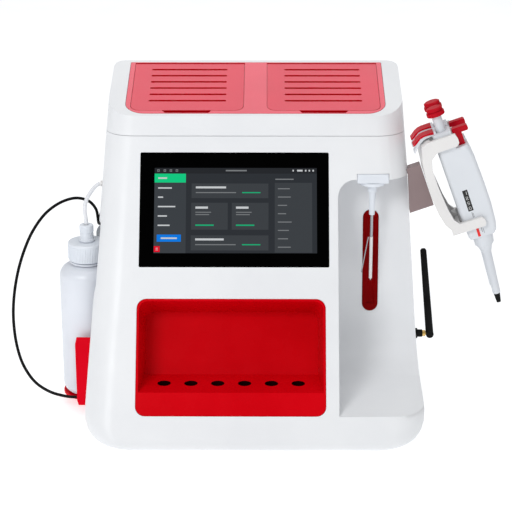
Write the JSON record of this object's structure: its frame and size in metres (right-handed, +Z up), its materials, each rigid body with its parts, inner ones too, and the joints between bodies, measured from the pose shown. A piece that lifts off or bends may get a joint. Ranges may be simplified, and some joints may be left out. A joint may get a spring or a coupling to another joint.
{
  "type": "biochemistry analyzer",
  "caption": "Bench-top biochemistry analyzer with a sloping touch screen, red tube tray, sample bay with needle, slotted red lids, side reagent bottle, antenna and hanging pipettes.",
  "frame": {"origin": "middle of the underside of the overall box, on the surface that the feet stand on", "axes": "+X to the right seen from the front, along the longest side; +Y to the back; +Z up"},
  "size_m": [0.5486, 0.3052, 0.3603],
  "materials": {
    "white_shell": "satin moulded plastic",
    "warm_white": "satin",
    "deck_red": "glossy moulded red",
    "tray_red": "glossy deep red",
    "key_red": "glossy dark red",
    "holder_red": "satin red",
    "screen_glass": "black touch glass, opaque",
    "rubber": "matte",
    "black_plastic": "fine texture",
    "grey_plastic": "satin",
    "steel": "polished",
    "zinc": "zinc-plated sheet",
    "brass": "gold plated",
    "arm_mauve": "satin powder coat",
    "bottle": "milky blow-moulded plastic",
    "pipette_grey": "satin light grey",
    "pipette_red": "satin dark red",
    "circuit": "solder mask"
  },
  "bodies": {
    "analyzer": {"main_shell": "white_shell", "top_cover": "white_shell", "lid_deck": "deck_red", "lid_pin_left": "steel", "lid_pin_right": "steel", "rear_panel": "white_shell", "base_plate": "zinc", "foot_front_left": "rubber", "foot_front_right": "rubber", "foot_rear_left": "rubber", "foot_rear_right": "rubber", "touch_glass": "screen_glass", "display_panel": "black_plastic", "tube_tray": "tray_red", "key_switch": "black_plastic", "sipper_block": "white_shell", "sipper_nozzle": "warm_white", "sample_probe": "steel", "probe_sleeve": "warm_white", "capillary": "steel", "photometer_block": "grey_plastic", "pump_head": "grey_plastic", "pump_motor": "zinc", "main_board": "circuit", "power_supply": "zinc", "fan_frame": "black_plastic", "reagent_pack_left": "bottle", "reagent_pack_right": "bottle", "power_inlet": "black_plastic", "switch_bezel": "black_plastic", "port_block": "black_plastic", "bottle_holder": "holder_red", "holder_backplate": "grey_plastic", "reagent_bottle": "bottle", "bottle_cap": "warm_white", "cap_gland": "warm_white", "dip_tube": "warm_white", "reagent_tube": "warm_white", "tube_fitting": "warm_white", "sensor_cable": "black_plastic", "sensor_plug": "black_plastic", "sensor_socket": "black_plastic", "antenna_connector": "brass", "pipette_bracket": "arm_mauve", "pipette_cradle": "warm_white"},
    "lid_left": {"lid_left": "deck_red"},
    "lid_right": {"lid_right": "deck_red"},
    "aspirate_key": {"aspirate_key": "key_red"},
    "antenna_base": {"antenna_base": "brass"},
    "antenna_rod": {"antenna_rod": "black_plastic"},
    "power_switch": {"power_switch": "black_plastic"},
    "fan_rotor": {"fan_rotor": "black_plastic"},
    "pump_rotor": {"pump_rotor": "warm_white"},
    "pipette_a": {"pipette_a_body": "pipette_grey"},
    "pipette_a_plunger": {"pipette_a_plunger": "pipette_red"},
    "pipette_a_ejector": {"pipette_a_ejector": "pipette_red"},
    "pipette_b": {"pipette_b_body": "pipette_grey"},
    "pipette_b_plunger": {"pipette_b_plunger": "pipette_red"},
    "pipette_b_ejector": {"pipette_b_ejector": "pipette_red"}
  },
  "joints": [
    {"name": "lid_left_hinge", "type": "hinge", "parent": "analyzer", "child": "lid_left", "pos_m": [-0.10467, 0.13931, 0.35495], "axis": [-1, 0, 0], "range_deg": [0, 92]},
    {"name": "lid_right_hinge", "type": "hinge", "parent": "analyzer", "child": "lid_right", "pos_m": [0.04732, 0.13931, 0.35495], "axis": [-1, 0, 0], "range_deg": [0, 92]},
    {"name": "aspirate_press", "type": "slide", "parent": "analyzer", "child": "aspirate_key", "axis": [0, 0.9903, -0.1392], "range_m": [0, 0.003], "stiffness_N_per_m": 600, "springref_m": -0.0005},
    {"name": "antenna_swivel", "type": "hinge", "parent": "analyzer", "child": "antenna_base", "pos_m": [0.16398, 0.03477, 0.0645], "axis": [1, 0, 0], "range_deg": [-90, 90]},
    {"name": "antenna_fold", "type": "hinge", "parent": "antenna_base", "child": "antenna_rod", "pos_m": [0.17239, 0.03477, 0.0645], "axis": [0, 1, 0], "range_deg": [0, 84]},
    {"name": "power_rock", "type": "hinge", "parent": "analyzer", "child": "power_switch", "pos_m": [-0.09467, 0.14607, 0.072], "axis": [-1, 0, 0], "range_deg": [0, 16]},
    {"name": "fan_spin", "type": "hinge", "parent": "analyzer", "child": "fan_rotor", "pos_m": [0.05533, 0.13877, 0.202], "axis": [0, 1, 0], "continuous": true},
    {"name": "pump_spin", "type": "hinge", "parent": "analyzer", "child": "pump_rotor", "pos_m": [0.09133, 0.07717, 0.07], "axis": [0, 1, 0], "continuous": true},
    {"name": "pipette_a_lift", "type": "slide", "parent": "analyzer", "child": "pipette_a", "axis": [-0.3338, 0, 0.9426], "range_m": [0, 0.06]},
    {"name": "pipette_a_press", "type": "slide", "parent": "pipette_a", "child": "pipette_a_plunger", "axis": [0.3338, 0, -0.9426], "range_m": [0, 0.014], "stiffness_N_per_m": 300, "springref_m": -0.001},
    {"name": "pipette_a_eject", "type": "slide", "parent": "pipette_a", "child": "pipette_a_ejector", "axis": [0.3338, 0, -0.9426], "range_m": [0, 0.01], "stiffness_N_per_m": 400, "springref_m": -0.001},
    {"name": "pipette_b_lift", "type": "slide", "parent": "analyzer", "child": "pipette_b", "axis": [-0.3338, 0, 0.9426], "range_m": [0, 0.06]},
    {"name": "pipette_b_press", "type": "slide", "parent": "pipette_b", "child": "pipette_b_plunger", "axis": [0.3338, 0, -0.9426], "range_m": [0, 0.014], "stiffness_N_per_m": 300, "springref_m": -0.001},
    {"name": "pipette_b_eject", "type": "slide", "parent": "pipette_b", "child": "pipette_b_ejector", "axis": [0.3338, 0, -0.9426], "range_m": [0, 0.01], "stiffness_N_per_m": 400, "springref_m": -0.001}
  ]
}
